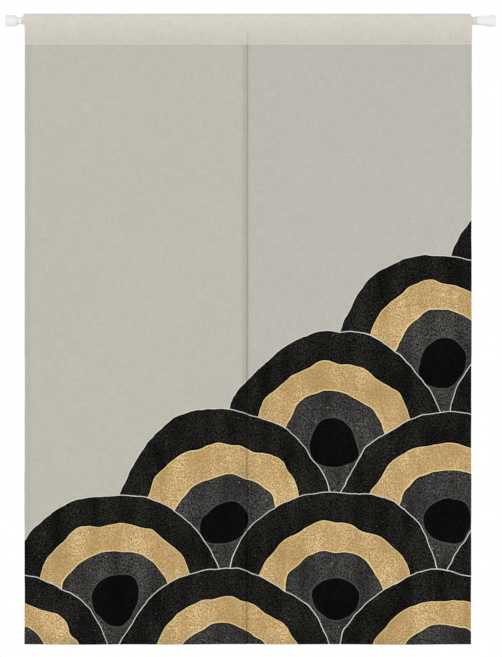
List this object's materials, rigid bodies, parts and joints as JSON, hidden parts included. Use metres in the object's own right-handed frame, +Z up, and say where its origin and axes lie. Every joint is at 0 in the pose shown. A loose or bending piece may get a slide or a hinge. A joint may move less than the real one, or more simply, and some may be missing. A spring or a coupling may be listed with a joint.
{
  "type": "two-panel door curtain with tension rod",
  "caption": "Slit door curtain of plain-woven cloth with a folded rod-pocket heading, hung from a telescopic tension rod with soft end pads.",
  "frame": {"origin": "under the middle of the rod, on the rod's axis plane, level with the lowest point of the cloth", "axes": "+X along the rod to the right as seen from the front, -Y to the front, +Z up"},
  "size_m": [0.9324, 0.0236, 1.2],
  "materials": {
    "panel_cloth": "matt fine plain weave, warm light grey",
    "heading_cloth": "matt fine plain weave, paler than the panels",
    "rod_tube": "smooth white coating",
    "rod_pad": "smooth white moulding"
  },
  "bodies": {
    "root": {"panel_left": "panel_cloth", "panel_right": "panel_cloth", "heading": "heading_cloth", "rod_outer_tube": "rod_tube", "rod_inner_tube": "rod_tube", "rod_pad_left": "rod_pad", "rod_pad_right": "rod_pad"}
  },
  "joints": []
}
